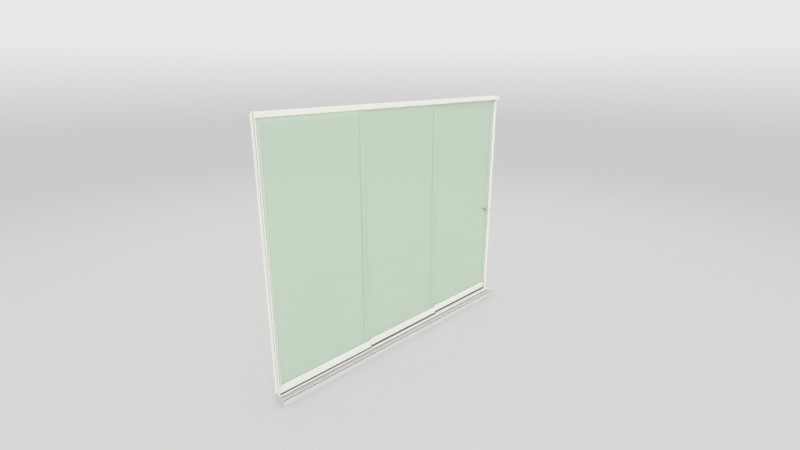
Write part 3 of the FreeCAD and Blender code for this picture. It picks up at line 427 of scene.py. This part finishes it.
def lights():
    world = bpy.data.worlds.new("even_studio")
    world.use_nodes = True
    surround = world.node_tree.nodes["Background"]
    surround.inputs["Color"].default_value = (1, 1, 1, 1)
    surround.inputs["Strength"].default_value = WORLD_STRENGTH
    bpy.context.scene.world = world
    data = bpy.data.lights.new("soft_key", "SUN")
    data.energy = KEY_STRENGTH
    data.angle = KEY_WIDTH
    lamp = bpy.data.objects.new("soft_key", data)
    level = math.cos(KEY_ELEVATION)
    towards = Vector((math.sin(KEY_AZIMUTH) * level, -math.cos(KEY_AZIMUTH) * level, math.sin(KEY_ELEVATION)))
    lamp.rotation_euler = towards.to_track_quat("Z", "Y").to_euler()
    bpy.context.scene.collection.objects.link(lamp)


def islands(node):
    """Lowest and highest corners of each separate solid in a CAD node, sorted."""
    mesh = bmesh.new()
    mesh.from_mesh(frame["nodes"][node].data)
    bmesh.ops.remove_doubles(mesh, verts=mesh.verts, dist=1e-6)
    left = set(mesh.verts)
    boxes = []
    while left:
        reached = [left.pop()]
        for vertex in reached:
            for edge in vertex.link_edges:
                other = edge.other_vert(vertex)
                if other in left:
                    left.remove(other)
                    reached.append(other)
        low = Vector([min(vertex.co[axis] for vertex in reached) for axis in range(3)])
        high = Vector([max(vertex.co[axis] for vertex in reached) for axis in range(3)])
        boxes.append((low, high))
    mesh.free()
    return sorted(boxes, key=lambda box: tuple(box[0]))


def tuft_tree():
    """Stands tufts on the rows of a mesh of lines. Each point's aim and reach say where a tuft points and how
    far."""
    tree = bpy.data.node_groups.new("pile_tufts", "GeometryNodeTree")
    tree.is_modifier = True
    face = tree.interface
    face.new_socket("Geometry", in_out="INPUT", socket_type="NodeSocketGeometry")
    for name, kind in (("Pitch", "Float"), ("Radius", "Float"), ("Lean", "Float"), ("Seed", "Int"),
                       ("Material", "Material")):
        face.new_socket(name, in_out="INPUT", socket_type="NodeSocket" + kind)
    face.new_socket("Geometry", in_out="OUTPUT", socket_type="NodeSocketGeometry")
    source = add(tree, "NodeGroupInput").outputs
    rows = add(tree, "GeometryNodeMeshToCurve", _0=source["Geometry"])
    points = add(tree, "GeometryNodeResampleCurve", {"mode": "LENGTH"}, Curve=rows.outputs["Curve"],
                 Length=source["Pitch"])
    tip = add(tree, "ShaderNodeMath", {"operation": "MULTIPLY"}, _0=source["Radius"], _1=TUFT_TIP_SHARE)
    tuft = add(tree, "GeometryNodeMeshCone", {"fill_type": "NONE"}, Vertices=TUFT_SIDES,
               Radius_Top=tip.outputs["Value"], Radius_Bottom=source["Radius"], Depth=1.0)
    aim = add(tree, "GeometryNodeInputNamedAttribute", {"data_type": "FLOAT_VECTOR"}, Name="aim")
    reach = add(tree, "GeometryNodeInputNamedAttribute", {"data_type": "FLOAT"}, Name="reach")
    upright = add(tree, "FunctionNodeAlignRotationToVector", {"axis": "Z"}, Vector=aim.outputs["Attribute"])
    least = add(tree, "ShaderNodeMath", {"operation": "MULTIPLY"}, _0=source["Lean"], _1=-1.0)
    turn = [add(tree, "FunctionNodeRandomValue", {"data_type": "FLOAT"}, _2=least.outputs["Value"],
                _3=source["Lean"], Seed=source["Seed"],
                ID=add(tree, "GeometryNodeInputIndex").outputs["Index"])]
    shifted = add(tree, "ShaderNodeMath", {"operation": "ADD"}, _0=source["Seed"], _1=1.0)
    turn.append(add(tree, "FunctionNodeRandomValue", {"data_type": "FLOAT"}, _2=least.outputs["Value"],
                    _3=source["Lean"], Seed=shifted.outputs["Value"]))
    lean = add(tree, "ShaderNodeCombineXYZ", X=turn[0].outputs[1], Y=turn[1].outputs[1])
    tilt = add(tree, "FunctionNodeEulerToRotation", Euler=lean.outputs["Vector"])
    turned = add(tree, "FunctionNodeRotateRotation", {"rotation_space": "LOCAL"},
                 Rotation=upright.outputs["Rotation"], Rotate_By=tilt.outputs["Rotation"])
    shortest = add(tree, "ShaderNodeMath", {"operation": "MULTIPLY"}, _0=reach.outputs["Attribute"],
                   _1=SHORTEST_TUFT_SHARE)
    length = add(tree, "FunctionNodeRandomValue", {"data_type": "FLOAT"}, _2=shortest.outputs["Value"],
                 _3=reach.outputs["Attribute"], Seed=source["Seed"])
    size = add(tree, "ShaderNodeCombineXYZ", X=1.0, Y=1.0, Z=length.outputs[1])
    stood = add(tree, "GeometryNodeInstanceOnPoints", Points=points.outputs["Curve"],
                Instance=tuft.outputs["Mesh"], Rotation=turned.outputs["Rotation"],
                Scale=size.outputs["Vector"])
    real = add(tree, "GeometryNodeRealizeInstances", _0=stood.outputs["Instances"])
    painted = add(tree, "GeometryNodeSetMaterial", Geometry=real.outputs["Geometry"],
                  Material=source["Material"])
    add(tree, "NodeGroupOutput", Geometry=painted.outputs["Geometry"])
    return tree


def screw_tree():
    """Stands a screw head on each point, its face at the point and its axis along the point's aim. The hex
    socket is cut out of the head, and each screw stops at its own turn."""
    tree = bpy.data.node_groups.new("socket_screws", "GeometryNodeTree")
    tree.is_modifier = True
    face = tree.interface
    face.new_socket("Geometry", in_out="INPUT", socket_type="NodeSocketGeometry")
    for name, kind in (("Head Radius", "Float"), ("Root Radius", "Float"), ("Head Depth", "Float"),
                       ("Socket Radius", "Float"), ("Seed", "Int"), ("Material", "Material")):
        face.new_socket(name, in_out="INPUT", socket_type="NodeSocket" + kind)
    face.new_socket("Geometry", in_out="OUTPUT", socket_type="NodeSocketGeometry")
    source = add(tree, "NodeGroupInput").outputs
    blank = add(tree, "GeometryNodeMeshCone", Vertices=HEAD_SIDES, Radius_Top=source["Head Radius"],
                Radius_Bottom=source["Root Radius"], Depth=source["Head Depth"])
    rim = add(tree, "ShaderNodeCombineXYZ", Z=source["Head Depth"])
    punch = add(tree, "GeometryNodeMeshCylinder", Vertices=6, Radius=source["Socket Radius"],
                Depth=source["Head Depth"])
    raised = add(tree, "GeometryNodeTransform", Geometry=punch.outputs["Mesh"],
                 Translation=rim.outputs["Vector"])
    cut = add(tree, "GeometryNodeMeshBoolean", {"operation": "DIFFERENCE", "solver": "EXACT"},
              _0=blank.outputs["Mesh"], _1=raised.outputs["Geometry"])
    sunk = add(tree, "ShaderNodeVectorMath", {"operation": "SCALE"}, _0=rim.outputs["Vector"], Scale=-1.0)
    head = add(tree, "GeometryNodeTransform", Geometry=cut.outputs["Mesh"],
               Translation=sunk.outputs["Vector"])
    aim = add(tree, "GeometryNodeInputNamedAttribute", {"data_type": "FLOAT_VECTOR"}, Name="aim")
    upright = add(tree, "FunctionNodeAlignRotationToVector", {"axis": "Z"}, Vector=aim.outputs["Attribute"])
    turn = add(tree, "FunctionNodeRandomValue", {"data_type": "FLOAT"}, _2=0.0, _3=math.pi / 3,
               Seed=source["Seed"])
    spin = add(tree, "ShaderNodeCombineXYZ", Z=turn.outputs[1])
    spun = add(tree, "FunctionNodeEulerToRotation", Euler=spin.outputs["Vector"])
    turned = add(tree, "FunctionNodeRotateRotation", {"rotation_space": "LOCAL"},
                 Rotation=upright.outputs["Rotation"], Rotate_By=spun.outputs["Rotation"])
    points = add(tree, "GeometryNodeMeshToPoints", Mesh=source["Geometry"])
    stood = add(tree, "GeometryNodeInstanceOnPoints", Points=points.outputs["Points"],
                Instance=head.outputs["Geometry"], Rotation=turned.outputs["Rotation"])
    real = add(tree, "GeometryNodeRealizeInstances", _0=stood.outputs["Instances"])
    painted = add(tree, "GeometryNodeSetMaterial", Geometry=real.outputs["Geometry"],
                  Material=source["Material"])
    add(tree, "NodeGroupOutput", Geometry=painted.outputs["Geometry"])
    return tree


def apply_tree(item, tree, values):
    """Runs a geometry tree on a mesh object with the named input values and keeps the result as a plain
    mesh."""
    made = item.modifiers.new(tree.name, "NODES")
    made.node_group = tree
    for socket in tree.interface.items_tree:
        if socket.in_out == "INPUT" and socket.name in values:
            made[socket.identifier] = values[socket.name]
    seen = item.evaluated_get(bpy.context.evaluated_depsgraph_get())
    data = bpy.data.meshes.new_from_object(seen)
    item.modifiers.clear()
    item.data = data
    data.name = item.name


def add_box(mesh, low, high):
    corners = [(x, y, z) for x in (low[0], high[0]) for y in (low[1], high[1]) for z in (low[2], high[2])]
    made = [mesh.verts.new(corner) for corner in corners]
    for face in ((0, 1, 3, 2), (4, 6, 7, 5), (0, 4, 5, 1), (2, 3, 7, 6), (0, 2, 6, 4), (1, 5, 7, 3)):
        mesh.faces.new([made[number] for number in face])


def screws(name, body, material, places, sizes, seed):
    """One mesh of screw heads. Each place is a point on the face and the direction that the head faces."""
    points = bmesh.new()
    aim_layer = points.verts.layers.float_vector.new("aim")
    for point, aim in places:
        vertex = points.verts.new(Vector(point) - SCREW_SINK * aim)
        vertex[aim_layer] = aim
    data = bpy.data.meshes.new(name)
    points.to_mesh(data)
    points.free()
    item = bpy.data.objects.new(name, data)
    bpy.context.scene.collection.objects.link(item)
    apply_tree(item, SCREWS, {**sizes, "Seed": seed, "Material": material})
    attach(item, body)


def strips(name, body, material, bars):
    """One mesh of straight strips. Each bar is the axis that it runs along, its outline round that axis and
    its two ends."""
    mesh = bmesh.new()
    for axis, outline, ends in bars:
        rings = []
        for end in ends:
            ring = []
            for first, second in outline:
                place = Vector()
                place[axis] = end
                place[(axis + 1) % 3] = first
                place[(axis + 2) % 3] = second
                ring.append(mesh.verts.new(place))
            rings.append(ring)
            mesh.faces.new(ring)
        for number in range(len(outline)):
            mesh.faces.new((rings[0][number - 1], rings[0][number], rings[1][number], rings[1][number - 1]))
    bmesh.ops.recalc_face_normals(mesh, faces=mesh.faces)
    data = bpy.data.meshes.new(name)
    mesh.to_mesh(data)
    mesh.free()
    data.materials.append(material)
    item = bpy.data.objects.new(name, data)
    bpy.context.scene.collection.objects.link(item)
    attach(item, body)


def painted_light_strip(leaf, sides):
    """The upright bar of a cover strip between two places along the door: painted light on the pane's shaded
    part.
    """
    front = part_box(leaf + "_glass")[0][1]
    back = front - LIGHT_STRIP_THICKNESS
    outline = [(sides[0], front), (sides[1], front), (sides[1], back), (sides[0], back)]
    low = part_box(leaf + "_shoe")[1][2] + UPRIGHT_END_GAP
    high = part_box("head_track")[0][2] - UPRIGHT_END_GAP
    return (UPRIGHT, outline, (low, high))


def painted_highlight_fin(leaf):
    """The upright bar of a leaf's fin gasket, a painted highlight beside the pane's edge: a flat foot on the
    pane and a thin fin towards the neighbour."""
    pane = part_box(leaf + "_glass")[0]
    middle = pane[0] + FIN_FOOT_FROM_EDGE + FIN_FOOT_WIDTH / 2
    half = [(FIN_FOOT_WIDTH / 2, 0.0), (FIN_FOOT_WIDTH / 2, FIN_FOOT_THICKNESS),
            (FIN_ROOT_WIDTH / 2, FIN_FOOT_THICKNESS), (FIN_TIP_WIDTH / 2, FIN_REACH)]
    outline = [(middle + side, pane[1] - out) for side, out in half]
    outline += [(middle - side, pane[1] - out) for side, out in reversed(half)]
    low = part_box(leaf + "_shoe")[1][2] + UPRIGHT_END_GAP
    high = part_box("head_track")[0][2] - UPRIGHT_END_GAP
    return (UPRIGHT, outline, (low, high))


def brush(name, body, node, material, run, aims, pitch, radius, seed, past=0.0):
    """Replaces a CAD pile strip by a dense core and rows of leaning tufts.
    run is the axis along the strip, aims the direction of the tufts on each solid, and past how far the
    tufts pass the end of the solid."""
    core = bmesh.new()
    lines = bmesh.new()
    aim_layer = lines.verts.layers.float_vector.new("aim")
    reach_layer = lines.verts.layers.float.new("reach")
    for (low, high), aim in zip(islands(node), aims):
        depth = max(range(3), key=lambda axis: abs(aim[axis]))
        width = 3 - run - depth
        reach = high[depth] - low[depth]
        root = low[depth] if aim[depth] > 0 else high[depth]
        core_low, core_high = low.copy(), high.copy()
        if aim[depth] > 0:
            core_high[depth] = root + CORE_SHARE * reach
        else:
            core_low[depth] = root - CORE_SHARE * reach
        core_low[width] += radius
        core_high[width] -= radius
        add_box(core, core_low, core_high)
        for number, share in enumerate(TUFT_ROWS):
            ends = []
            for end in (low[run] + pitch * (1 + number % 2) / 2, high[run] - pitch / 2):
                place = Vector()
                place[run] = end
                place[depth] = root
                place[width] = low[width] + radius + share * (high[width] - low[width] - 2 * radius)
                vertex = lines.verts.new(place)
                vertex[aim_layer] = aim
                vertex[reach_layer] = reach + past
                ends.append(vertex)
            lines.edges.new(ends)
    data = bpy.data.meshes.new(name)
    lines.to_mesh(data)
    lines.free()
    item = bpy.data.objects.new(name, data)
    bpy.context.scene.collection.objects.link(item)
    apply_tree(item, TUFTS, {"Pitch": pitch, "Radius": radius, "Lean": TUFT_LEAN, "Seed": seed,
                             "Material": material})
    core.from_mesh(item.data)
    bmesh.ops.recalc_face_normals(core, faces=core.faces)
    core.to_mesh(item.data)
    core.free()
    item.data.materials.clear()
    item.data.materials.append(material)
    for polygon in item.data.polygons:
        polygon.material_index = 0
    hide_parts(node)
    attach(item, body)


def dress(nodes, material):
    """Gives CAD nodes one material."""
    for name in nodes:
        data = frame["nodes"][name].data
        data.materials.clear()
        data.materials.append(material)


backdrop()
camera()
lights()
bpy.context.scene.view_settings.view_transform = "Standard"

coat = powder_coat("white_powder_coated_aluminium", "EEEEE7", shade_reach=0.01, full_shade_share=0.1)
threshold_coat = powder_coat("threshold_powder_coated_aluminium", "DCDDDB", shade_reach=0.028, full_shade_share=0.16,
                             drift_share=0.03, foot_shade_share=0.94)
track_coat = powder_coat("track_powder_coated_aluminium", "F1F1EA", shade_reach=0.012, full_shade_share=0.1,
                         drift_share=0.03)
glass = float_glass()
white_plastic = moulded_plastic("white_moulded_polyamide", "E9E9E3", roughness=0.45)
white_roller = moulded_plastic("white_acetal", "E2E2DC", roughness=0.3, grain_size=0.001, ior=1.48)
black_plastic = moulded_plastic("black_moulded_polyamide", "1E1F20", roughness=0.42)
black_rubber = moulded_plastic("black_epdm_rubber", "191919", roughness=0.75, grain_size=0.0004, ior=1.52)
black_pile = pile("black_polypropylene_pile", "0A0A0A")
white_pile = pile("white_polypropylene_pile", "EDEEE9")
vinyl = clear_vinyl("milky_soft_vinyl", cover=0.9)
painted_light_film = clear_vinyl("painted_light_soft_vinyl", cover=0.6)
end_cap_plastic = moulded_plastic("threshold_cap_polyamide", "CFCFCB", roughness=0.5)
steel = brushed_steel("brushed_stainless_steel", "ECEBE7", grain=(0.01, 0.00015, 0.01))
screw_steel = brushed_steel("plain_stainless_steel", "B4B3AF", grain=(0.0004, 0.0004, 0.0004))

by_slot = {}
for part in frame["record"]["subparts"]:
    by_slot.setdefault(part["material_slot"], []).append(part["node"])
dress(by_slot["white_coated_aluminium"], coat)
dress(["threshold_base"], threshold_coat)
dress(["floor_track"], track_coat)
dress(by_slot["pale_green_glass"], glass)
dress(by_slot["white_plastic"], white_plastic)
dress(["threshold_end_cap_left", "threshold_end_cap_right"], end_cap_plastic)
dress([name for name in by_slot["white_plastic"] if name.endswith("_rollers")], white_roller)
dress(by_slot["black_plastic"], black_plastic)
dress(by_slot["black_pile"], black_pile)
dress(by_slot["grey_pile"], white_pile)
dress(by_slot["black_rubber"], black_rubber)
dress(by_slot["clear_liner"], vinyl)
dress(by_slot["brushed_steel"], steel)

TUFTS = tuft_tree()
SCREWS = screw_tree()
DOWN, UP = Vector((0, 0, -1)), Vector((0, 0, 1))
FORWARD, BACK = Vector((0, -1, 0)), Vector((0, 1, 0))
LEFT, RIGHT = Vector((-1, 0, 0)), Vector((1, 0, 0))
BOTTOM_PILES = (("left_leaf", "frame", 11), ("middle_leaf", "middle_leaf", 12),
                ("right_leaf", "right_leaf", 13))
for leaf, body, seed in BOTTOM_PILES:
    brush(leaf + "_bottom_pile", body, leaf + "_bottom_brushes", black_pile, ALONG,
          [DOWN, DOWN], TUFT_PITCH, TUFT_RADIUS, seed, BOTTOM_TUFTS_PAST)
brush("head_pile", "frame", "head_brush_seals", white_pile, ALONG, [BACK, FORWARD] * 3,
      HEAD_TUFT_PITCH, HEAD_TUFT_RADIUS, 21)
brush("side_pile", "frame", "side_brush_right", white_pile, UPRIGHT, [BACK, FORWARD],
      SIDE_TUFT_PITCH, SIDE_TUFT_RADIUS, 31)

base_low, base_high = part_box("threshold_base")
strips("threshold_joint_seal", "frame", black_rubber, [
    (ALONG, [(JOINT_BACK, JOINT_LOW), (JOINT_EDGE, JOINT_LOW),
             (JOINT_CROWN, JOINT_LOW + JOINT_CORNER),
             (JOINT_CROWN, JOINT_HIGH - JOINT_CORNER), (JOINT_EDGE, JOINT_HIGH), (JOINT_BACK, JOINT_HIGH)],
     (base_low[0], base_high[0]))])
SLOT_STRIP_SHOULDER = SLOT_STRIP_TOP - SLOT_STRIP_ROUND / 2
# Painted shade: black strips darken the track in front of the closed leaves' shoes
strips("track_painted_shade_strips", "frame", black_rubber, [
    (ALONG, [(front, SLOT_FLOOR), (front, SLOT_STRIP_SHOULDER), (front + SLOT_STRIP_ROUND, SLOT_STRIP_TOP),
             (back - SLOT_STRIP_ROUND, SLOT_STRIP_TOP), (back, SLOT_STRIP_SHOULDER), (back, SLOT_FLOOR)],
     ends) for (front, back), ends in PAINTED_SHADE_STRIPS])
# Painted highlight: a milky fin beside the edge of each leaf that passes its neighbour
for leaf in ("middle_leaf", "right_leaf"):
    strips(leaf + "_painted_highlight_fin", leaf, vinyl, [painted_highlight_fin(leaf)])

# Painted light: milky strips lighten the panes where the side profiles shade them
strips("left_leaf_painted_light_strip", "frame", painted_light_film,
       [painted_light_strip("left_leaf", LIGHT_STRIP_LEFT)])
strips("right_leaf_painted_light_strip", "right_leaf", painted_light_film,
       [painted_light_strip("right_leaf", LIGHT_STRIP_RIGHT)])

left_end, right_end = CAD_BOX[0][0], CAD_BOX[1][0]
cap_places = [((left_end, *place), LEFT) for place in THRESHOLD_SCREWS + HEAD_SCREWS]
cap_places += [((right_end, *place), RIGHT) for place in THRESHOLD_SCREWS + HEAD_SCREWS]
screws("cap_screws", "frame", screw_steel, cap_places, COUNTERSUNK, 41)
screws("stop_screws", "frame", screw_steel, [(place, UP) for place in STOP_SCREWS],
       CAPPED, 42)
screws("knob_grub_screws", "right_leaf", screw_steel,
       [(place, DOWN) for place in GRUB_SCREWS], GRUB, 43)
